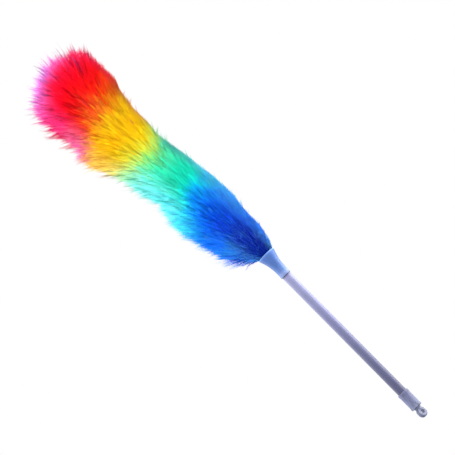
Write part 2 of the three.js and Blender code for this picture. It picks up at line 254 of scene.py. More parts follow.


# Colour of the fibre by its place on the head: (height in mm, colour in the body of the head, colour of the thin
# light tips on the hanging side, painted backlight, colour of the duller tips along the combed edge, painted edge
# shade, and of stray fibres).
FIBRE_COLOURS = [
    (261.6, (2, 49, 193), (50, 132, 200), (104, 166, 204)),
    (283.2, (2, 46, 203), (62, 152, 216), (96, 164, 212)),
    (302.4, (1, 44, 203), (99, 189, 250), (70, 152, 236)),
    (316.8, (1, 48, 200), (83, 204, 255), (57, 140, 237)),
    (328.8, (1, 71, 231), (41, 167, 252), (54, 142, 231)),
    (343.2, (1, 92, 232), (14, 133, 247), (63, 163, 245)),
    (357.6, (1, 119, 234), (21, 160, 253), (78, 178, 244)),
    (370.8, (1, 168, 252), (36, 187, 243), (71, 173, 236)),
    (381.6, (1, 216, 251), (69, 221, 242), (72, 189, 235)),
    (390.0, (4, 241, 228), (86, 231, 248), (77, 195, 227)),
    (399.6, (9, 232, 203), (110, 235, 255), (90, 201, 220)),
    (412.8, (35, 236, 206), (147, 241, 244), (82, 201, 196)),
    (427.2, (73, 246, 212), (158, 254, 255), (79, 187, 179)),
    (439.2, (133, 242, 179), (175, 255, 255), (75, 181, 161)),
    (448.8, (186, 239, 134), (197, 255, 222), (81, 190, 168)),
    (458.4, (237, 244, 90), (223, 250, 183), (110, 180, 149)),
    (466.8, (252, 237, 28), (244, 237, 158), (155, 149, 98)),
    (477.6, (255, 222, 2), (255, 232, 111), (185, 136, 70)),
    (494.4, (254, 212, 2), (247, 215, 98), (193, 124, 58)),
    (511.2, (253, 222, 12), (238, 200, 106), (191, 109, 52)),
    (523.2, (249, 177, 20), (233, 152, 143), (188, 89, 47)),
    (534.0, (245, 107, 15), (233, 102, 198), (188, 70, 48)),
    (544.8, (251, 72, 8), (241, 136, 194), (199, 43, 69)),
    (554.4, (252, 26, 10), (240, 124, 172), (195, 27, 80)),
    (571.2, (250, 1, 19), (251, 59, 158), (193, 35, 91)),
    (583.2, (252, 4, 49), (241, 56, 139), (180, 54, 114)),
    (600.0, (246, 26, 84), (236, 104, 190), (156, 62, 134)),
    (621.6, (226, 96, 178), (208, 132, 216), (132, 72, 140)),
]
DYE_LOW, DYE_HIGH = FIBRE_COLOURS[0][0], FIBRE_COLOURS[-1][0]
DYE_SPAN = DYE_HIGH - DYE_LOW
SHADES = (0.68, 0.88, 1.0, 1.1)  # a fibre's lightness, one of four
SHADE_SCALE = 1.2  # the ramp holds the shades divided by this, to keep them below 1
STRIPS = 2 * len(SHADES)  # the shades with light tips, painted backlight, then the shades with edge tips


def fibre_material():
    """One material for every fibre. Its colours come from the UV map: across, the place among the dyes; up,
    eight strips for the four shades with light and then with edge tips, and in each the way to the tip colour. The
    light tips are painted backlight; the edge tips are painted light and shade along the combed edge and the colour of
    stray fibres."""
    m = Nodes("fibre_dye_and_painted_light")
    uv = m.add("UVMap", {"uv_map": UV_NAME})
    axes = m.add("SeparateXYZ", Vector=uv.outputs["UV"])
    across = axes.outputs["X"]
    up = m.math("MULTIPLY", axes.outputs["Y"], float(STRIPS))
    along = m.math("FRACT", up)
    edge_tip = m.math("GREATER_THAN", up, float(len(SHADES)))
    strip_up = m.math("FLOOR", up)
    strip = m.math("SUBTRACT", strip_up, m.math("MULTIPLY", edge_tip, float(len(SHADES))))
    body, backlit_tip, edge_tip_colour = (
        m.ramp(across, [((row[0] - DYE_LOW) / DYE_SPAN, srgb(*row[i])) for row in FIBRE_COLOURS])
        for i in (1, 2, 3)
    )
    # Towards its tip a fibre takes a tip colour: the light tip paints backlight, the edge tip paints light and shade
    # on the combed edge.
    colour = m.mix(along, body, m.mix(edge_tip, backlit_tip, edge_tip_colour))
    greys = [(v / SHADE_SCALE,) * 3 + (1,) for v in SHADES]
    shade = m.ramp(
        m.remap(strip, (0, len(SHADES))),
        [(i / len(SHADES), grey) for i, grey in enumerate(greys)],
        "CONSTANT",
    )
    colour = m.mix(1.0, colour, shade, "MULTIPLY")
    colour = m.mix(1.0, colour, (SHADE_SCALE,) * 3 + (1,), "MULTIPLY")
    surface = m.add(
        "BsdfPrincipled",
        Base_Color=colour,
        Roughness=m.remap(along, (0.0, 1.0), (0.62, 0.46)),
        Specular_IOR_Level=0.12,
    )
    glow = m.add("BsdfTranslucent", Color=colour)
    m.mix_output(0.5, surface, glow)
    return m.mat


# Plastic colours: (height in mm, sRGB colour). Some stops are painted light and shade, as said at each piece.
EYE_COLOURS = [(0, (114, 118, 146)), (12, (117, 123, 151)), (26, (114, 118, 146))]
CAP_COLOURS_PAINTED_HIGHLIGHT = [
    (14, (125, 131, 159)),
    (24, (121, 127, 163)),
    (32, (116, 119, 157)),
    (37.5, (110, 113, 148)),
    (39.2, (127, 131, 161)),
# Painted highlight: the top rim is lighter, where light catches its rounded edge.
]
# The tube: darker towards the end cap and lighter towards the ferrule, painted shading along its length.
TUBE_COLOURS_PAINTED_SHADE = [
    (26, (75, 74, 108)),
    (50, (84, 85, 119)),
    (86, (93, 95, 130)),
    (125, (109, 111, 148)),
    (163, (128, 128, 171)),
    (202, (139, 142, 180)),
    (230.5, (153, 154, 196)),
    (233.8, (148, 148, 190)),
    # Painted shadow: a dark band just under the ferrule's lip, going on inside the ferrule.
    (235.0, (70, 70, 112)),
    (256, (70, 70, 112)),
]
# The ferrule's blue is partly its own colour and partly a painted reflection of the blue fibres.
FERRULE_COLOURS_PAINTED_LIGHT = [
    (236, (127, 142, 194)),
    # Painted highlight at the top of the lip.
    (239.5, (140, 163, 217)),
    (242.5, (96, 130, 196)),
    (250, (75, 114, 184)),
    (262, (70, 107, 179)),
    (267.6, (69, 110, 189)),
    # Painted highlight on the rim of the mouth.
    (269, (94, 140, 216)),
    (270.2, (144, 189, 247)),
]
PLUG_COLOURS = [(257, (205, 208, 216)), (270, (214, 216, 222))]

MAT = {
    "eye": moulded_plastic(
        "eye_plastic", EYE_COLOURS, rough=0.36, streak=0.5, mottle=0.9, coat=0.1
    ),
    "cap": moulded_plastic("cap_plastic", CAP_COLOURS_PAINTED_HIGHLIGHT, rough=0.5, streak=1.3, mottle=1.7),
    "tube": moulded_plastic("tube_plastic_painted_shade", TUBE_COLOURS_PAINTED_SHADE, rough=0.42, streak=0.7, mottle=0.35),
    "ferrule": moulded_plastic(
        "ferrule_plastic", FERRULE_COLOURS_PAINTED_LIGHT, rough=0.42, streak=0.5, mottle=0.6
    ),
    "plug": moulded_plastic("plug_plastic", PLUG_COLOURS, rough=0.55),
    "steel": steel("drawn_steel"),
    "fibre": fibre_material(),
}


# ---------------------------------------------------------------- mesh helpers

SHARP_ANGLE = 32  # degrees: edges that turn more than this look sharp


def light_group(name):
    """Objects that some lamps are kept for."""
    group = bpy.data.collections.new(name)
    bpy.context.scene.collection.children.link(group)
    return group


HANDLE_GROUP, FIBRE_GROUP = light_group("handle_pieces"), light_group("fibre_pieces")


def linked_object(name, mesh):
    ob = bpy.data.objects.new(name, mesh)
    bpy.context.scene.collection.objects.link(ob)
    return ob


def solid(name, bm, material):
    """Smooth-shaded object from a bmesh."""
    bmesh.ops.remove_doubles(bm, verts=bm.verts, dist=1e-7)
    bmesh.ops.recalc_face_normals(bm, faces=bm.faces)
    mesh = bpy.data.meshes.new(name)
    bm.to_mesh(mesh)
    bm.free()
    for p in mesh.polygons:
        p.use_smooth = True
    mesh.set_sharp_from_angle(angle=math.radians(SHARP_ANGLE))
    mesh.materials.append(material)
    return linked_object(name, mesh)


def handle_piece(ob, body, node):
    """Put a piece on its body, in place of one of the frame's solids."""
    HANDLE_GROUP.objects.link(ob)
    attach(ob, body)
    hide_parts(node)


def rounded(corners, steps=6):
    """Closed (r, z) outline from (r, z, rounding) corners. A rounding of 0 keeps the corner sharp."""
    count, out = len(corners), []
    for i, (r, z, radius) in enumerate(corners):
        corner = np.array((r, z), float)
        back = np.array(corners[i - 1][:2], float) - corner
        ahead = np.array(corners[(i + 1) % count][:2], float) - corner
        back_length, ahead_length = np.linalg.norm(back), np.linalg.norm(ahead)
        back, ahead = back / back_length, ahead / ahead_length
        turn = math.acos(float(np.clip(back @ ahead, -1, 1)))
        if radius <= 0 or turn > math.radians(176):
            out.append(tuple(corner))
            continue
        cut = min(radius / math.tan(turn / 2), back_length * 0.48, ahead_length * 0.48)
        start, end = corner + back * cut, corner + ahead * cut
        for k in range(steps + 1):
            t = k / steps
            out.append(tuple((1 - t) ** 2 * start + 2 * t * (1 - t) * corner + t * t * end))
    return out


def subdivided(outline, longest):
    """More points on long stretches, so that a turned wall is made of even faces."""
    out = []
    for i, a in enumerate(outline):
        b = outline[(i + 1) % len(outline)]
        steps = max(1, math.ceil(math.dist(a, b) / longest))
        for k in range(steps):
            t = k / steps
            out.append((a[0] + (b[0] - a[0]) * t, a[1] + (b[1] - a[1]) * t))
    return out


def turned(outline, segments, wave=None):
    """Closed ring or solid turned about Z from an (r, z) outline. wave(r, z, angle) adds to the radius."""
    bm = bmesh.new()
    rows = []
    for r, z in outline:
        if r < 1e-6:
            rows.append([bm.verts.new((0, 0, z * MM))])
            continue
        row = []
        for k in range(segments):
            angle = 2 * math.pi * k / segments
            radius = r + (wave(r, z, angle) if wave else 0)
            x, y = radius * MM * math.cos(angle), radius * MM * math.sin(angle)
            row.append(bm.verts.new((x, y, z * MM)))
        rows.append(row)
    for i, a in enumerate(rows):
        b = rows[(i + 1) % len(rows)]
        if len(a) == 1 and len(b) == 1:
            continue
        for k in range(segments):
            j = (k + 1) % segments
            if len(a) == 1:
                bm.faces.new((a[0], b[j], b[k]))
            elif len(b) == 1:
                bm.faces.new((a[k], a[j], b[0]))
            else:
                bm.faces.new((a[k], a[j], b[j], b[k]))
    return bm


def apply_modifiers(ob):
    depsgraph = bpy.context.evaluated_depsgraph_get()
    mesh = bpy.data.meshes.new_from_object(ob.evaluated_get(depsgraph), depsgraph=depsgraph)
    old = ob.data
    ob.modifiers.clear()
    ob.data = mesh
    bpy.data.meshes.remove(old)


# ---------------------------------------------------------------- swivel eye

EYE_CENTRE_Z = 6.6
EYE_RING_R = 6.8
EYE_HOLE_R = 2.2
EYE_HALF = 2.5  # half the ring's thickness
EYE_TURN = Matrix.Rotation(math.radians(45), 4, "Z")  # how the eye stands in the frame
STEM_TOP = EYE_HIGH[2]
STEM_R = 2.0
STEM_SLOT = (0.9, 9.0, 7.0)  # size of the cut across the stem's end
STEM_SLOT_Z = STEM_TOP - 0.3  # its middle


def eye_ring():
    corners = [
        (EYE_HOLE_R, -EYE_HALF, 1.0),
        (EYE_RING_R, -EYE_HALF, 1.75),
        (EYE_RING_R, EYE_HALF, 1.75),
        (EYE_HOLE_R, EYE_HALF, 1.0),
    ]
    bm = turned(rounded(corners, 8), 96)
    upright = EYE_TURN @ Matrix.Rotation(math.radians(90), 4, "X")
    lift = Matrix.Translation((0, 0, EYE_CENTRE_Z * MM))
    bmesh.ops.transform(bm, matrix=lift @ upright, verts=bm.verts)
    return solid("eye_and_stem", bm, MAT["eye"])


def eye_stem():
    foot = EYE_CENTRE_Z + EYE_HOLE_R + 1.2
    collar_r = 4.7
    collar_top = CAP_LOW[2] - 0.32
    barb_r = 3.3
    barb_z = STEM_TOP - 4.9
    corners = [
        (0, foot, 0),
        (3.3, foot, 0),
        (3.6, 12.7, 0.7),
        (collar_r, 13.0, 0.4),
        (collar_r, collar_top, 0.35),
        (STEM_R, collar_top, 0.2),
        (STEM_R, barb_z, 0.15),
        (barb_r, barb_z, 0.25),
        (barb_r, STEM_TOP - 4.0, 0.3),
        (1.9, STEM_TOP, 0.3),
        (0, STEM_TOP, 0),
    ]
    return solid("stem_tool", turned(rounded(corners, 4), 64), MAT["eye"])


def stem_slot():
    bm = bmesh.new()
    bmesh.ops.create_cube(bm, size=1)
    lift = Matrix.Translation((0, 0, STEM_SLOT_Z * MM))
    size = Matrix.Diagonal((*(side * MM for side in STEM_SLOT), 1))
    bmesh.ops.transform(bm, matrix=lift @ EYE_TURN @ size, verts=bm.verts)
    return solid("slot_tool", bm, MAT["eye"])


def swivel_eye():
    """Fat rounded ring with a filleted neck, and the snap-in stem that it turns on."""
    eye, stem, slot = eye_ring(), eye_stem(), stem_slot()
    for tool, operation in ((stem, "UNION"), (slot, "DIFFERENCE")):
        boolean = eye.modifiers.new("boolean", "BOOLEAN")
        boolean.object, boolean.operation, boolean.solver = tool, operation, "EXACT"
    apply_modifiers(eye)
    for tool in (stem, slot):
        bpy.data.objects.remove(tool)
    # Remeshed and smoothed, so that ring and stem flow into each other.
    remesh = eye.modifiers.new("remesh", "REMESH")
    remesh.mode, remesh.voxel_size, remesh.use_smooth_shade = "VOXEL", 0.00017, True
    smooth = eye.modifiers.new("smooth", "SMOOTH")
    smooth.factor, smooth.iterations = 0.5, 8
    apply_modifiers(eye)
    # The free end keeps its small flat, and nothing passes the solid's own box.
    low, high = EYE_LOW * MM, EYE_HIGH * MM
    for v in eye.data.vertices:
        v.co = [min(max(c, a), b) for c, a, b in zip(v.co, low, high)]
    eye.data.materials.clear()
    eye.data.materials.append(MAT["eye"])
    for p in eye.data.polygons:
        p.use_smooth = True
    handle_piece(eye, "eye", "swivel_eye")


# ---------------------------------------------------------------- end cap, tube and ferrule

GRIP_INSET = 0.22  # how far the end cap's middle lies inside its rims
FLUTES = 20
FLUTE_DEPTH = 0.09
FLUTE_FADE = 1.2  # length over which a flute gets its full depth


def end_cap():
    bottom, top, rim_r = CAP_LOW[2], CAP_HIGH[2], CAP_HIGH[0]
    grip_r = rim_r - GRIP_INSET
    hole_r, wall_r, socket_r = 2.35, 4.9, 6.3
    floor_top = bottom + 5.0
    socket_z = TUBE_LOW[2] - 0.3
    flute_low, flute_high = bottom + 3.2, top - 3.3
    corners = [
        (hole_r, bottom, 0.25),
        (rim_r, bottom, 0.9),
        (rim_r, bottom + 3.0, 0.3),
        (grip_r, bottom + 3.5, 0.3),
        (grip_r, top - 3.6, 0.3),
        (rim_r, top - 3.1, 0.3),
        (rim_r, top, 0.55),
        (socket_r, top, 0.3),
        (socket_r, socket_z, 0.1),
        (wall_r, socket_z, 0.3),
        (wall_r, floor_top, 0.2),
        (hole_r, floor_top, 0.1),
    ]

    def flutes(r, z, angle):
        # Shallow grip flutes on the outside, between the two plain rims.
        if r < rim_r - 0.6 or not flute_low < z < flute_high:
            return 0.0
        fade = min(1.0, (z - flute_low) / FLUTE_FADE, (flute_high - z) / FLUTE_FADE)
        return -FLUTE_DEPTH * fade * (0.5 + 0.5 * math.cos(angle * FLUTES))

    bm = turned(subdivided(rounded(corners), 1.2), 160, wave=flutes)
    cap = solid("end_cap_shell", bm, MAT["cap"])
    handle_piece(cap, "handle", "end_cap")


def handle_tube():
    outer_r, inner_r = TUBE_HIGH[0], 4.8
    bottom, top = TUBE_LOW[2], TUBE_HIGH[2]
    places = [(outer_r, bottom), (outer_r, top), (inner_r, top), (inner_r, bottom)]
    corners = [(r, z, 0.3) for r, z in places]
    tube = solid("tube_wall", turned(subdivided(rounded(corners, 4), 6.0), 128), MAT["tube"])
    handle_piece(tube, "handle", "handle_tube")


# Outside of the ferrule from above its lip, over the waist, to the trumpet mouth: (radius, height above its foot).
FERRULE_WAIST = [
    (6.96, 3.3), (6.88, 6), (6.9, 9), (7.0, 12), (7.2, 14.6), (7.5, 17.2),
    (7.95, 20), (8.55, 22.8), (9.25, 25.4), (10.05, 28), (10.85, 30.4), (11.4, 32.0),
]
# Inside of the ferrule from the mouth down: (radius, z, rounding).
FERRULE_INSIDE = [
    (9.2, 266.3, 1.0), (7.4, 263.9, 1.0), (6.0, 262.6, 0.4), (6.0, 257.6, 0.2),
    (3.4, 257.6, 0.1), (3.4, 256.1, 0.1), (6.3, 256.1, 0.1),
]


def ferrule():
    bottom, top, mouth_r = FERRULE_LOW[2], FERRULE_HIGH[2], FERRULE_HIGH[0]
    lip_r = 7.2
    corners = [
        (6.35, bottom, 0.2),
        (lip_r, bottom, 0.55),
        (lip_r, bottom + 2.5, 0.5),
        *((r, bottom + rise, 0) for r, rise in FERRULE_WAIST),
        (mouth_r, bottom + 32.6, 0.3),
        (mouth_r, top, 0.55),
        (mouth_r - 1.15, top, 0.4),
        *FERRULE_INSIDE,
        (6.3, bottom + 0.2, 0.1),
    ]
    bm = turned(subdivided(rounded(corners, 5), 1.6), 128)
    shell = solid("ferrule_shell", bm, MAT["ferrule"])
    handle_piece(shell, "handle", "ferrule")


def dress_frame_pieces():
    """Materials for the frame's own wires and plugs. The wires are also rounded."""
    for name, ob in frame["nodes"].items():
        is_wire = name.startswith("wire_")
        if not is_wire and name not in ("core_plug", "tip_cap"):
            continue
        material = MAT["steel" if is_wire else "plug"]
        ob.data.materials.clear()
        ob.data.materials.append(material)
        # Reaches slots that take their material from the object as well.
        for slot in ob.material_slots:
            slot.material = material
        if is_wire:
            subdivision = ob.modifiers.new("round", "SUBSURF")
            subdivision.levels = subdivision.render_levels = 1


swivel_eye()
end_cap()
handle_tube()
ferrule()
dress_frame_pieces()

# ---------------------------------------------------------------- head: the fibre's envelope

# Height, centre in X and half width of the combed head. The same envelope as the frame's fibre bands.
ENVELOPE = np.array([
    [272, -0.5, 12.5], [281, -5.0, 21.0], [295, -9.6, 28.6], [310, -12.0, 32.8],
    [324, -14.0, 34.0], [338, -15.2, 36.0], [353, -15.6, 38.6], [367, -16.6, 39.4],
    [382, -16.4, 38.2], [396, -16.4, 36.6], [410, -17.4, 36.0], [425, -19.8, 36.2],
    [439, -22.3, 36.6], [454, -25.0, 38.2], [468, -27.8, 40.4], [482, -31.0, 43.4],
    [497, -33.4, 45.6], [511, -32.8, 45.8], [526, -31.0, 45.8], [540, -30.4, 47.0],
    [554, -30.0, 49.6], [569, -30.0, 49.8], [583, -28.4, 48.0], [598, -24.0, 41.5],
    [607, -21.0, 31.0], [613, -20.0, 17.0], [616, -20.0, 0.0],
])

# Height, and how much closer than the envelope the fibre is combed there, as a share: on the hanging side (-X)
# and on the combed side (+X).
CLOSER = np.array([
    [272, 0.0, 0.0], [278, 0.03, 0.0], [284, 0.17, 0.0], [296, 0.19, 0.0],
    [310, 0.05, 0.0], [330, 0.03, 0.03], [350, 0.0, 0.0], [395, -0.02, 0.0],
    [410, 0.11, 0.03], [425, 0.05, 0.0], [439, 0.09, 0.01], [454, 0.07, 0.04],
    [468, 0.09, 0.14], [482, 0.09, 0.06], [497, -0.02, 0.03], [511, 0.0, 0.08],
    [526, 0.03, 0.05], [540, 0.09, 0.04], [554, 0.02, -0.05], [569, 0.0, 0.02],
    [583, 0.0, 0.04], [598, 0.02, 0.05], [612, 0.08, 0.12],
])


def envelope(z):
    """Centre in X and half width of the head at a height."""
    return (
        np.interp(z, ENVELOPE[:, 0], ENVELOPE[:, 1]),
        np.interp(z, ENVELOPE[:, 0], ENVELOPE[:, 2]),
    )


CORE_ARC = np.concatenate([[0], np.cumsum(np.linalg.norm(np.diff(CORE, axis=0), axis=1))])
CORE_LENGTH = CORE_ARC[-1]


def core_at(arc):
    """Point of the core's axis at a length from the first pivot; below it the core goes straight into the ferrule."""
    arc = np.asarray(arc, float)
    out = np.stack([np.interp(arc, CORE_ARC, CORE[:, i]) for i in range(3)], axis=-1)
    out[..., 2] += np.minimum(arc, 0)
    return out


def arc_of(z):
    """Length along the core at a height. Past its end the length goes on as if the core did."""
    return (
        np.interp(z, CORE[:, 2], CORE_ARC)
        + np.minimum(z - CORE[0, 2], 0)
        + np.maximum(z - CORE[-1, 2], 0)
    )


def unit(v):
    return v / np.maximum(np.linalg.norm(v, axis=-1, keepdims=True), 1e-9)


def step(x, a, b):
    """Smooth step from 0 at a to 1 at b."""
    t = np.clip((x - a) / (b - a), 0, 1)
    return t * t * (3 - 2 * t)


def hanging(angle):
    """1 on the hanging side (-X), 0 on the combed side (+X)."""
    return 0.5 - 0.5 * np.cos(angle)


def outwards(angle):
    return np.stack([np.cos(angle), np.sin(angle), np.zeros(len(angle))], axis=1)


def waves(z, angle, seed, scale, around=5):
    """Smooth noise about 0 over the head's surface. scale: its size along the head in mm."""
    rng = np.random.default_rng(seed)
    out = np.zeros_like(z)
    for _ in range(9):
        z_pace = rng.normal(0, 1) / scale
        turns = rng.integers(0, around)
        out += np.sin(2 * np.pi * (z_pace * z) + turns * angle + rng.uniform(0, 6.28))
    return out / 3.0


def streaks(z, angle, seed, around=230, length=30.0):
    """Long thin streaks about 0: fine steps round the head, slow change along it."""
    rng = np.random.default_rng(seed)
    phase = rng.uniform(0, 6.28, (3, around))
    pace = 2 * np.pi / (length * rng.uniform(0.7, 1.8, (3, around)))
    level = rng.normal(0, 0.5, around)
    turn = angle / (2 * np.pi) + 0.0006 * (z - 272)
    lane = (np.floor(turn * around)).astype(int) % around
    out = level[lane]
    for i in range(3):
        out = out + np.sin(z * pace[i, lane] + phase[i, lane]) * 0.75
    return out


# ---------------------------------------------------------------- head: growing the fibres

TUFTS = 4200
PER_TUFT = 16
FIBRE_LENGTH = 64.0
FIBRE_R = 0.2  # several real filaments lie together in each fibre
STRAY_R = 0.16
TUFT_SPREAD = 4.4  # how far a tuft's fibres lie apart before they are drawn together
GOLDEN_ANGLE = 2.399963
STEPS = np.array([0, 0.15, 0.38, 0.64, 0.87, 1.0])  # where a fibre's sections lie along it
TAPER = np.array([0.9, 1.0, 1.0, 0.92, 0.74, 0.0])  # a fibre's thickness at each section


class Draws:
    """Random values, one for each fibre: its own, or shared by its tuft."""

    def __init__(self, rng, tuft):
        self.rng, self.tuft = rng, tuft

    def own(self, low=0, high=1):
        return self.rng.uniform(low, high, len(self.tuft))

    def shared(self, low=0, high=1):
        return self.rng.uniform(low, high, TUFTS)[self.tuft]

    def own_normal(self, spread):
        return self.rng.normal(0, spread, len(self.tuft))

    def shared_normal(self, spread):
        return self.rng.normal(0, spread, TUFTS)[self.tuft]


def tuft_places(rng):
    """Heights and angles of the tufts, even over the envelope: by area along it, by the golden angle round it."""
    z = np.interp(np.linspace(0, 1, 1500), np.linspace(0, 1, len(ENVELOPE)), ENVELOPE[:, 0])
    _, half_width = envelope(z)
    run = np.concatenate([[0], np.cumsum(np.hypot(np.diff(z), np.diff(half_width)))])
    strip_area = np.diff(run) * (half_width[1:] + half_width[:-1]) / 2
    area = np.concatenate([[0], np.cumsum(strip_area)])
    share = (np.arange(TUFTS) + rng.uniform(0, 1, TUFTS)) / TUFTS
    angle = (np.arange(TUFTS) * GOLDEN_ANGLE + rng.normal(0, 0.12, TUFTS)) % (2 * np.pi)
    return np.interp(share, area / area[-1], z), angle


def placed_fibres(draws, z, angle):
    """Where each fibre stands. z and angle are its tuft's; own_z and own_angle are its own."""
    _, half_width = envelope(z)
    hang = hanging(angle)
    off_z, off_angle = draws.own_normal(1), draws.own_normal(1)
    crown = step(z, 560, 606)
    loose = np.maximum(hang**1.2, crown * 0.9)
    ragged = waves(z, angle, 61, 11.0, 14)
    # Some tufts are drawn into spikes, mostly on the hanging side and at the crown.
    spike_share = (0.08 + 0.22 * loose) * (1 + 0.6 * np.sign(ragged))
    spike = (draws.shared() < spike_share) * 1.0
    pull = np.where(spike > 0, 0.96, 0.1 + draws.shared() * (0.3 + 0.45 * loose))
    return SimpleNamespace(
        z=z,
        angle=angle,
        own_z=z + off_z * TUFT_SPREAD * (1 - pull),
        own_angle=angle + off_angle * TUFT_SPREAD * (1 - pull) / np.maximum(half_width, 8),
        off_centre=np.hypot(off_z, off_angle),
        hang=hang,
        crown=crown,
        loose=loose,
        ragged=ragged,
        spike=spike,
        pull=pull,
    )


def tip_reach(draws, at):
    """How far out each tip lies, as a share of the way from the core to the envelope. Tufts are pointed: their
    outer fibres end sooner. On the hanging side and at the crown some stand out well past the rest."""
    hang, crown, loose, spike = at.hang, at.crown, at.loose, at.spike
    tuft_long = draws.shared_normal(1)
    reach = 1.0 + crown * (0.1 + 0.03 * hang) + tuft_long * (0.012 + 0.024 * loose)
    reach += spike * (0.04 + 0.11 * loose * draws.shared())
    reach -= spike * 0.16 * draws.own() ** 1.6
    reach += waves(at.z, at.angle, 5, 55.0) * (0.01 + 0.026 * hang) + at.ragged * 0.022 * loose
    reach -= (0.012 + 0.05 * loose * at.pull) * at.off_centre
    reach += 0.02 + 0.03 * loose
    # Combed closer in places.
    combed_side = step(np.cos(at.angle), 0.2, 0.8)
    reach *= 1 - np.interp(at.z, CLOSER[:, 0], CLOSER[:, 1]) * hang
    reach *= 1 - np.interp(at.z, CLOSER[:, 0], CLOSER[:, 2]) * combed_side
    # Some fibres end early everywhere.
    early = draws.own() < 0.3 - 0.1 * crown
    reach = np.where(early, reach - draws.own(0.04, 0.4) * (1 - 0.4 * crown), reach)
    return np.clip(reach, 0.45, 1.28)


def tips(draws, at):
    """Each fibre's tip, the point of the core it scales about, and its length along the core."""
    reach = tip_reach(draws, at)
    z = np.clip(at.own_z, 272, 615.9)
    centre, half_width = envelope(z)
    x = centre + half_width * np.cos(at.own_angle)
    y = half_width * 0.98 * np.sin(at.own_angle)
    surface = np.stack([x, y, z], axis=1)
    arc = arc_of(z)
    # The tip scales about the core, so a crown fibre gets shorter towards its root.
    on_core = core_at(np.minimum(arc, CORE_LENGTH - 18))
    return on_core + (surface - on_core) * reach[:, None], on_core, arc


def roots(draws, at, tip, on_core, tip_arc):
    """Each root's length along the core, its place and its direction outwards. It lies behind the tip by what is
    left of the fibre's length."""
    side = np.hypot(tip[:, 0] - on_core[:, 0], tip[:, 1])
    length = FIBRE_LENGTH * (1 + draws.own_normal(0.05)) * (1 + 0.05 * at.hang)
    sweep = np.sqrt(np.maximum(length**2 - side**2, (0.42 * length) ** 2)) * 0.93
    arc = tip_arc - sweep + draws.own_normal(3.0) + draws.shared_normal(2.5)
    last = CORE_LENGTH + 3 - 26 * draws.own() ** 1.6
    first = -8.0 + 9 * draws.own() ** 1.3
    arc = np.maximum(np.minimum(arc, last), first)
    # A tenth of the fibres start anywhere round the core.
    anywhere = draws.own() < 0.1
    angle = np.where(anywhere, draws.own(0, 2 * np.pi), at.own_angle + draws.own_normal(0.28))
    out = outwards(angle)
    on_top = step(arc, CORE_LENGTH - 4, CORE_LENGTH + 3)
    foot = core_at(arc) + out * (2.5 + 1.4 * draws.own() * (1 - on_top))[:, None]
    return arc, foot, out


def bezier(start, start_handle, end_handle, end):
    """Points at STEPS along a curve for every fibre."""
    w = STEPS[None, :, None]
    return (
        (1 - w) ** 3 * start[:, None]
        + 3 * (1 - w) ** 2 * w * start_handle[:, None]
        + 3 * (1 - w) * w**2 * end_handle[:, None]
        + w**3 * end[:, None]
    )


def crimp(draws, at, chord_dir, axis):
    """A slow wave across the fibre, shared by the tuft, with a little of each fibre's own."""
    across = unit(np.cross(chord_dir, axis + 0.01))
    updown = np.cross(chord_dir, across)
    turns = draws.shared(0.5, 1.3)[:, None]
    phase = draws.shared(0, 6.28)[:, None]
    own = draws.own(0, 6.28)[:, None]
    slack = (0.5 + 0.7 * at.hang)[:, None] * (1 - 0.7 * at.spike)[:, None]
    f = STEPS[None]
    wave_across = 0.9 * np.sin(6.28 * turns * f + phase)
    wave_across = wave_across + 0.35 * slack * np.sin(6.28 * 1.6 * f + own)
    wave_updown = 0.7 * np.cos(6.28 * turns * f + phase * 1.7)
    wave_updown = wave_updown + 0.35 * slack * np.cos(6.28 * 1.9 * f + own * 2)
    # The wave grows from nothing at the root.
    return (
        across[:, None] * (wave_across * f)[..., None]
        + updown[:, None] * (wave_updown * f * 0.8)[..., None]
    )


def fibre_paths(draws, at):
    """Paths out of the wire almost square to it, then bowed forward; and the roots' lengths along the core."""
    tip, on_core, tip_arc = tips(draws, at)
    root_arc, foot, out = roots(draws, at, tip, on_core, tip_arc)
    chord = tip - foot
    length = np.linalg.norm(chord, axis=1)
    chord_dir = chord / length[:, None]
    ahead = np.clip(root_arc + 4, 0, CORE_LENGTH)
    axis = unit(core_at(ahead) - core_at(ahead - 4))
    bow_out = (0.62 - 0.16 * at.hang) * (1 - 0.6 * at.crown)
    bow_in = (0.34 - 0.26 * at.hang) * (1 - 0.8 * at.crown)
    in_mouth = 1 - step(root_arc, -2, 10)
    start_dir = unit(
        chord_dir
        + out * bow_out[:, None] * (1 - in_mouth)[:, None]
        + axis * (in_mouth * 1.2)[:, None]
    )
    end_dir = unit(chord_dir + axis * bow_in[:, None])
    start_handle = foot + start_dir * (length * 0.36)[:, None]
    end_handle = tip - end_dir * (length * 0.40)[:, None]
    path = bezier(foot, start_handle, end_handle, tip)
    return path + crimp(draws, at, chord_dir, axis), root_arc


def fibre_shades(draws, at):
    """Which of SHADES each fibre has: tone that differs at random, with painted light and shade on top."""
    light = waves(at.z, at.angle, 21, 26.0) * 0.25 + draws.shared_normal(0.3)
    light = light + draws.own_normal(0.35)
    # Painted light: the hanging side (-X) gets lighter shades, the combed side (+X) darker ones.
    light += (at.hang - 0.5) * 0.8 + streaks(at.own_z, at.own_angle, 77) * 0.8
    shade = np.digitize(light, [-1.9, -0.4, 0.8])
    # Thin dark streaks: a few fibres of a tuft lie in its shadow.
    chance = draws.own()
    dark_share = np.where(draws.shared() < 0.15, 0.15, 0.01) * (1 - 0.8 * at.crown)
    shade = np.where(chance < dark_share, 0, shade)
    # Painted shade: the smooth combed edge is made a shade darker.
    combed = (1 - at.hang) * step(at.own_z, 405, 440) * (1 - step(at.own_z, 560, 580))
    return np.where((combed > 0.9) & (draws.own() < 0.75), np.minimum(shade, 1), shade)


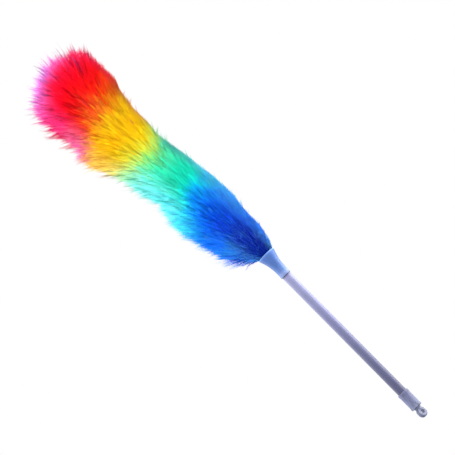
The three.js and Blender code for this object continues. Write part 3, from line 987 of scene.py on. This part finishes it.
def grow(seed=11):
    """All fibres of the head. Tufts are spread evenly over the envelope, and each fibre leans towards its
    tuft's tip."""
    rng = np.random.default_rng(seed)
    tuft_z, tuft_angle = tuft_places(rng)
    tuft = np.repeat(np.arange(TUFTS), PER_TUFT)
    draws = Draws(rng, tuft)
    at = placed_fibres(draws, tuft_z[tuft], tuft_angle[tuft])
    path, root_arc = fibre_paths(draws, at)
    # Fibres of the combed edge, where the edge tips paint light and shade, and some of the spikes have the edge tips.
    edge_tip = draws.own() < step(np.cos(at.angle), 0.2, 0.55)
    edge_tip = edge_tip | ((at.spike > 0) & (at.z < 520) & (draws.shared() < 0.2))
    dye, tipped = dyed(draws, path, at.z, at.angle)
    return dict(
        path=path,
        root=root_arc,
        hang=at.hang,
        dye=dye,
        tipped=tipped,
        shade=fibre_shades(draws, at),
        edge_tip=edge_tip * 1,
        thick=FIBRE_R * draws.own(0.75, 1.2) * (1 + 0.15 * at.spike),
    )


def dyed(draws, path, tuft_z, tuft_angle):
    """Height among the dyes at each point of each fibre, and how far its colour has gone to the tip colour.
    Dyes follow the place on the head, run a little with each tuft, and turn early on the hanging side. The tip colours
    are painted backlight on the hanging side and painted edge shade on the combed side."""
    x, z = path[..., 0], path[..., 2]
    centre, half_width = envelope(np.clip(z, 272, 612))
    # 0 at the hanging edge (-X), 1 at the combed edge (+X).
    across = np.clip((x - centre) / np.maximum(half_width, 6) * 0.5 + 0.5, 0, 1)
    # A fibre's colour follows the height of each point and of the point near its tip.
    height = z * 0.45 + np.repeat(z[:, 4:5], z.shape[1], axis=1) * 0.55
    below_green = 1 - step(height, 376.8, 417.6)

    slant = 24.0 * below_green + 20.4 * step(height, 470.4, 511.2)
    place = height + slant * step(0.58 - across, 0.0, 0.45)
    from_green = step(height, 415.2, 451.2)
    to_yellow = 1 - step(height, 472.8, 489.6)
    place += -6.0 * step(across, 0.8, 1.0) * from_green
    place += -7.2 * step(across, 0.68, 0.92) * from_green * to_yellow
    place += np.where(height < 381.6, 15.6 * step(across, 0.66, 1.0), 0.0)
    shift = draws.own_normal(3.12) + draws.shared_normal(2.88)
    shift = shift + waves(tuft_z, tuft_angle, 9, 40.0) * 1.92
    # Some tufts carry the colour of another height far over their neighbours.
    far = draws.shared()
    shift += np.where(far > 0.88, -10.8, 0.0) + np.where(far < 0.07, 8.4, 0.0)
    place = place + shift[:, None]

    # Light tips on the hanging side, painted backlight. They are short near the crown.
    wide = 0.36 + 0.22 * step(height, 265.2, 295.2) * (1 - step(height, 446.4, 472.8))
    edge = step(wide - across, 0.0, wide - 0.06)
    top = step(height, 566.4, 595.2)
    begun = step(STEPS[None] - 0.32 * top, 0.2, 0.68 + 0.22 * (1 - top))
    tipped = (0.25 - 0.2 * top + (0.75 + 0.2 * top) * begun) * edge
    # At the crown the outer ends take their tip colour all round: a painted backlit halo where the tip colour is
    # light.
    tipped = tipped + 0.85 * step(STEPS, 0.7, 1)[None] * step(z, 590, 616) * (1 - edge)
    # Tips of the combed edge, in a band that is wider low on the head: painted light and shade along the edge.
    low_zone = 1 - step(height, 376.8, 409.2)
    mid_zone = 1 - step(height, 445.2, 469.2)
    band_start = 0.9 - 0.07 * mid_zone - 0.13 * low_zone
    combed = step(across, band_start, 0.995 - 0.015 * mid_zone)
    combed = combed * step(STEPS, 0.2, 0.7)[None] * (0.72 + 0.28 * mid_zone)
    tipped = np.maximum(tipped, combed)
    # A few fibres take some of their tip colour over their whole outer half, and look lighter.
    pale = draws.own(0, 0.75) * (draws.own() < 0.2)
    pale = pale[:, None] * step(STEPS, 0.3, 0.7)[None] * below_green
    return place, np.clip(np.maximum(tipped, pale), 0.02, 0.98)


def strays(count, seed, low, high, stand_out, side, spread, lock):
    """Loose long fibres that have left the combed surface. The arguments are the columns of STRAYS."""
    rng = np.random.default_rng(seed)
    total = count * lock
    in_lock = lock > 1

    def shared(values, own):
        """A value for each lock, with a little of each fibre's own."""
        return np.repeat(values, lock, axis=0) + rng.normal(0, own, (total, *values.shape[1:]))

    z = shared(rng.uniform(low, high, count), 0.3 * in_lock)
    if side is None:
        lock_angle = rng.uniform(0, 2 * np.pi, count)
    else:
        lock_angle = rng.normal(side, spread, count)
    angle = shared(lock_angle, 0.01 * in_lock)
    centre, half_width = envelope(z)
    x, y = centre + half_width * np.cos(angle), half_width * np.sin(angle)
    surface = np.stack([x, y, z], axis=1)
    radial = unit(surface - core_at(np.minimum(arc_of(z), CORE_LENGTH)))
    lock_out = 1 + (stand_out - 1) * rng.uniform(0, 1, count) ** 1.4
    tip = surface + radial * shared(lock_out, 0.9 * in_lock)[:, None]
    tip[:, 2] += shared(rng.normal(0, 4, count), 0.5 * in_lock)

    arc = shared(arc_of(z[::lock]) - rng.uniform(22, 44, count), 1.0)
    arc = np.maximum(arc, -5 + 5 * rng.uniform(0, 1, total))
    arc = np.minimum(arc, CORE_LENGTH - 2)
    out = outwards(angle)
    foot = core_at(arc) + out * 3.0
    chord = tip - foot
    length = np.linalg.norm(chord, axis=1)[:, None]
    chord_dir = chord / length
    bend = unit(shared(rng.normal(0, 1, (count, 3)), 0.1))
    in_mouth = (1 - step(arc, -2, 10))[:, None]
    rise = np.array([0, 0, 1.2]) * in_mouth
    start_dir = unit(chord_dir * 0.8 + out * 0.5 * (1 - in_mouth) + rise)
    end_dir = unit(chord_dir + bend * 0.35)
    path = bezier(foot, foot + start_dir * length * 0.35, tip - end_dir * length * 0.4, tip)

    draws = Draws(rng, rng.integers(0, TUFTS, total))
    dye, _ = dyed(draws, path, z, angle)
    tipped = np.clip(step(STEPS, 0.6, 0.92)[None] * np.ones((total, 1)), 0.02, 0.98)
    return dict(
        path=path,
        root=arc,
        hang=hanging(angle),
        dye=dye,
        tipped=tipped,
        shade=rng.integers(1, 4, total),
        edge_tip=np.ones(total, int),
        thick=STRAY_R * rng.uniform(0.8, 1.2, total),
    )


# Number of locks, seed, lowest and highest tip, how far the longest stand out, middle of the part of the head they
# stand on as an angle from +X (None: all round), its spread in radians, and fibres in a lock.
STRAYS = [
    (50, 31, 276, 306, 11.0, math.pi, 0.7, 1),
    (36, 40, 275, 310, 8.0, math.pi, 0.5, 5),
    (150, 32, 296, 480, 8.0, math.pi, 0.7, 1),
    (120, 36, 284, 590, 7.0, math.pi, 0.5, 6),
    (120, 33, 480, 612, 9.0, math.pi, 0.6, 1),
    (90, 37, 530, 613, 14.0, math.pi, 0.55, 5),
    (60, 34, 560, 614, 9.0, None, None, 1),
    (54, 39, 588, 615, 13.0, None, None, 4),
    (70, 38, 300, 606, 4.5, 0.0, 0.6, 6),
    (220, 35, 285, 600, 4.0, None, None, 1),
]
# Widest the fibres may spread in and just above the ferrule's mouth.
MOUTH_Z = [263.0, 266.3, 269.4, 271.2, 274.0]
MOUTH_R = [4.6, 8.2, 9.9, 11.0, 60.0]
LOWEST_FIBRE_Z = 263.5
ROOM = np.array([12.3, 12.3, 24.0])  # how far fibres may pass the frame's own box


def kept_clear(path):
    """Keep the fibres within the ferrule's mouth, above its inside, and near the frame's box."""
    z = path[..., 2]
    r = np.hypot(path[..., 0], path[..., 1])
    widest = np.interp(z, MOUTH_Z, MOUTH_R)
    shrink = np.where((z < MOUTH_Z[-1]) & (r > widest), widest / np.maximum(r, 1e-6), 1.0)
    path[..., 0] *= shrink
    path[..., 1] *= shrink
    path[..., 2] = np.maximum(z, LOWEST_FIBRE_Z)
    return np.clip(path, np.array(CAD_LOW) / MM - ROOM, np.array(CAD_HIGH) / MM + ROOM)


# ---------------------------------------------------------------- head: fibre meshes


def fibre_corners(path, thick):
    """Vertices of tapered three-sided fibres: three for each section but the last, then the tip."""
    count = len(path)
    rings = len(STEPS) - 1
    # Sections square to the path, turned about it at random.
    along = unit(np.gradient(path, axis=1))
    rng = np.random.default_rng(count)
    chord_dir = unit(path[:, -1] - path[:, 0])
    square = unit(np.cross(chord_dir, unit(rng.normal(0, 1, (count, 3)))))
    side = unit(square[:, None] - (square[:, None] * along).sum(-1, keepdims=True) * along)
    other = np.cross(along, side)
    radius = thick[:, None] * TAPER[None] * MM
    corners = []
    for c in range(3):
        a = 2 * math.pi * c / 3
        offset = math.cos(a) * side[:, :rings] + math.sin(a) * other[:, :rings]
        corners.append(path[:, :rings] + radius[:, :rings, None] * offset)
    ring = np.stack(corners, axis=2)  # fibre, ring, corner, xyz
    return np.concatenate([ring.reshape(count, rings * 3, 3), path[:, -1:]], axis=1)


def fibre_faces():
    """Faces of one closed fibre as vertex numbers: the walls' quads, then the tip's and the root's triangles."""
    rings = len(STEPS) - 1
    quads = []
    for i in range(rings - 1):
        for c in range(3):
            c2 = (c + 1) % 3
            quads.append([i * 3 + c, i * 3 + c2, (i + 1) * 3 + c2, (i + 1) * 3 + c])
    top = (rings - 1) * 3
    tris = [[top + c, top + (c + 1) % 3, rings * 3] for c in range(3)]
    tris.append([2, 1, 0])
    return quads + tris


def fibre_mesh(name, fibres, pick):
    """The picked fibres as one object."""
    verts = fibre_corners(fibres["path"][pick] * MM, fibres["thick"][pick])
    count, per_fibre = verts.shape[:2]
    faces = fibre_faces()
    one = np.concatenate(faces)
    loops = (np.arange(count) * per_fibre)[:, None] + one[None]
    loop_ring = one // 3  # the section each face corner lies on
    sizes = [len(face) for face in faces]
    starts = np.concatenate([[0], np.cumsum(sizes)[:-1]])
    all_starts = (np.arange(count)[:, None] * len(one) + starts[None]).ravel()

    mesh = bpy.data.meshes.new(name)
    mesh.vertices.add(count * per_fibre)
    mesh.vertices.foreach_set("co", verts.astype(np.float32).ravel())
    mesh.loops.add(count * len(one))
    mesh.loops.foreach_set("vertex_index", loops.astype(np.int32).ravel())
    mesh.polygons.add(count * len(faces))
    mesh.polygons.foreach_set("loop_start", all_starts.astype(np.int32))
    mesh.polygons.foreach_set("use_smooth", np.ones(count * len(faces), bool))
    mesh.update(calc_edges=True)

    u = np.clip((fibres["dye"][pick] - DYE_LOW) / DYE_SPAN, 0.004, 0.996)
    strip = fibres["shade"][pick] + len(SHADES) * fibres["edge_tip"][pick]
    v = (strip[:, None] + np.clip(fibres["tipped"][pick], 0.03, 0.97)) / STRIPS
    uv = np.stack([u[:, loop_ring], v[:, loop_ring]], axis=-1).astype(np.float32)
    layer = mesh.uv_layers.new(name=UV_NAME)
    layer.data.foreach_set("uv", uv.ravel())
    mesh.materials.append(MAT["fibre"])
    mesh.validate()
    return linked_object(name, mesh)


# Each batch is rooted on one length of the core:
# name, first and last root along the core, body, next body and bend (pivot, start, end) if it has them, slot, and
# the frame's band that it replaces.
ROOT_ENDS = (26.0, CORE_ARC[1] + 10, CORE_ARC[2] + 6, CORE_ARC[3] + 2)
BATCHES = [
    ("fibre_navy", -99.0, ROOT_ENDS[0], "handle", "core_1", (0, -5.0, 20.0),
     "fibre_blue", None),
    ("fibre_blue", ROOT_ENDS[0], ROOT_ENDS[1], "core_1", "core_2", (1, -28.0, 36.0),
     "fibre_blue", "fibre_band_blue"),
    ("fibre_green", ROOT_ENDS[1], ROOT_ENDS[2], "core_2", "core_3", (2, -28.0, 34.0),
     "fibre_green", "fibre_band_green"),
    ("fibre_yellow", ROOT_ENDS[2], ROOT_ENDS[3], "core_3", "core_4", (3, -28.0, 34.0),
     "fibre_yellow", "fibre_band_yellow"),
    ("fibre_red", ROOT_ENDS[3], 999.0, "core_4", None, None,
     "fibre_red", "fibre_band_red"),
]
MOST = 7000  # fibres in one mesh


def fibre_head():
    sets = [grow(), *(strays(*row) for row in STRAYS)]
    fibres = {key: np.concatenate([s[key] for s in sets]) for key in sets[0]}
    fibres["path"] = kept_clear(fibres["path"])
    for name, low, high, body, next_body, bend, slot, band in BATCHES:
        inside = np.where((fibres["root"] >= low) & (fibres["root"] < high))[0]
        parts = max(1, math.ceil(len(inside) / MOST))
        order = inside[np.argsort(fibres["hang"][inside], kind="stable")]
        for i, pick in enumerate(np.array_split(order, parts)):
            ob = fibre_mesh(f"{name}_{'abcdefgh'[i]}", fibres, pick)
            FIBRE_GROUP.objects.link(ob)
            if next_body:
                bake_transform(ob)
            else:
                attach(ob, body)
            if band and i == 0:
                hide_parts(band)


fibre_head()

# ---------------------------------------------------------------- floor and world (metres)


def floor_material():
    """Near-white paint that fades out away from the middle and can't be seen from below."""
    m = Nodes("floor_paint")
    position = m.object_position()
    distance = m.add("VectorMath", {"operation": "LENGTH"})
    m.put(distance, 0, position)
    mottle = m.noise(position, scale=3.0, detail=4.0)
    shade = m.remap(mottle, NOISE_SPAN, (0.93, 0.955))
    paint = m.add("BsdfDiffuse", Color=m.grey(shade))
    clear = m.add("BsdfTransparent")
    under = m.add("NewGeometry").outputs["Backfacing"]
    fade = m.remap(distance.outputs["Value"], (0.35, 1.5), smooth=True)
    m.mix_output(m.math("MAXIMUM", fade, under), paint, clear)
    return m.mat


def floor():
    bm = bmesh.new()
    bmesh.ops.create_circle(bm, cap_ends=True, radius=1.6, segments=96)
    mesh = bpy.data.meshes.new("floor")
    bm.to_mesh(mesh)
    bm.free()
    mesh.materials.append(floor_material())
    ob = linked_object("floor", mesh)
    ob.location = (0, 0, -0.0004)
    ob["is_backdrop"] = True


def studio_world():
    """White to the camera, and a slightly blue, weaker light on the pieces."""
    world = bpy.data.worlds.new("studio")
    world.use_nodes = True
    nodes, links = world.node_tree.nodes, world.node_tree.links
    nodes.clear()

    def background(colour, strength):
        node = nodes.new("ShaderNodeBackground")
        node.inputs["Color"].default_value = colour
        node.inputs["Strength"].default_value = strength
        return node

    light_path = nodes.new("ShaderNodeLightPath")
    seen = background(colour=(1, 1, 1, 1), strength=1.0)
    lit = background(colour=(0.97, 0.98, 1.0, 1), strength=0.95)
    mix = nodes.new("ShaderNodeMixShader")
    output = nodes.new("ShaderNodeOutputWorld")
    links.new(light_path.outputs["Is Camera Ray"], mix.inputs[0])
    links.new(lit.outputs[0], mix.inputs[1])
    links.new(seen.outputs[0], mix.inputs[2])
    links.new(mix.outputs[0], output.inputs["Surface"])
    bpy.context.scene.world = world


floor()
studio_world()

# ---------------------------------------------------------------- lights (metres)

MIDDLE = (-0.01, 0, 0.31)  # what the area lamps aim at

# Area lamps: name, place, diameter, power in watts.
SOFT_LIGHTS = [
    ("fill", (-1.3, -1.3, 1.0), 1.4, 5),
    ("top", (0.0, 0.2, 1.9), 1.2, 6),
    ("back", (0.4, 1.6, 0.9), 1.3, 6),
]
# Very soft lamps from far away, each kept for one group: loose fibre shades itself, so it needs more light than the
# handle does to show its dyes. Name, direction the light goes, strength, angular size in degrees, group.
WIDE_LIGHTS = [
    ("handle_right", (-1.0, -0.1, -0.1), 4.6, 60, HANDLE_GROUP),
    ("handle_left", (1.0, -0.3, 0.0), 1.2, 50, HANDLE_GROUP),
    ("fibre_front", (0.0, 1.0, 0.0), 4.3, 110, FIBRE_GROUP),
    ("fibre_right", (-1.0, 0.35, -0.1), 3.6, 110, FIBRE_GROUP),
    ("fibre_left", (1.0, 0.35, 0.0), 3.6, 110, FIBRE_GROUP),
    ("fibre_top", (0.0, 0.1, -1.0), 3.4, 110, FIBRE_GROUP),
    ("fibre_back", (0.0, -1.0, 0.0), 4.2, 110, FIBRE_GROUP),
]


def facing(direction):
    """Rotation of a lamp that shines in a direction."""
    return direction.to_track_quat("-Z", "Y").to_euler()


for name, place, size, power in SOFT_LIGHTS:
    lamp = bpy.data.lights.new(name, "AREA")
    lamp.shape, lamp.size, lamp.energy = "DISK", size, power
    ob = linked_object(name, lamp)
    ob.location = place
    ob.rotation_euler = facing(Vector(MIDDLE) - Vector(place))

for name, direction, strength, angle, group in WIDE_LIGHTS:
    lamp = bpy.data.lights.new(name, "SUN")
    lamp.energy, lamp.angle = strength, math.radians(angle)
    ob = linked_object(name, lamp)
    ob.rotation_euler = facing(Vector(direction))
    ob.light_linking.receiver_collection = group

# ---------------------------------------------------------------- camera (metres)

# Looks along +Y and up by the tilt, rolled so that the handle lies to the lower right.
TILT, ROLL = math.radians(7.0), math.radians(44.693)
AIM = Vector((-0.00987, 0, 0.3258))
DISTANCE = 5.0


def camera():
    data = bpy.data.cameras.new("camera")
    data.lens, data.sensor_width = 331.86, 36.0
    data.clip_start, data.clip_end = 0.05, 50
    ob = linked_object("camera", data)
    bpy.context.scene.camera = ob
    back = Vector((0, -math.cos(TILT), -math.sin(TILT)))
    across = Vector((1, 0, 0))
    upward = Vector((0, -math.sin(TILT), math.cos(TILT)))
    right = across * math.cos(ROLL) - upward * math.sin(ROLL)
    up = across * math.sin(ROLL) + upward * math.cos(ROLL)
    turn = Matrix((right, up, back)).transposed().to_4x4()
    ob.matrix_world = Matrix.Translation(AIM + back * DISTANCE) @ turn


camera()
bpy.context.scene.view_settings.view_transform = "Standard"
bpy.context.scene.view_settings.look = "None"
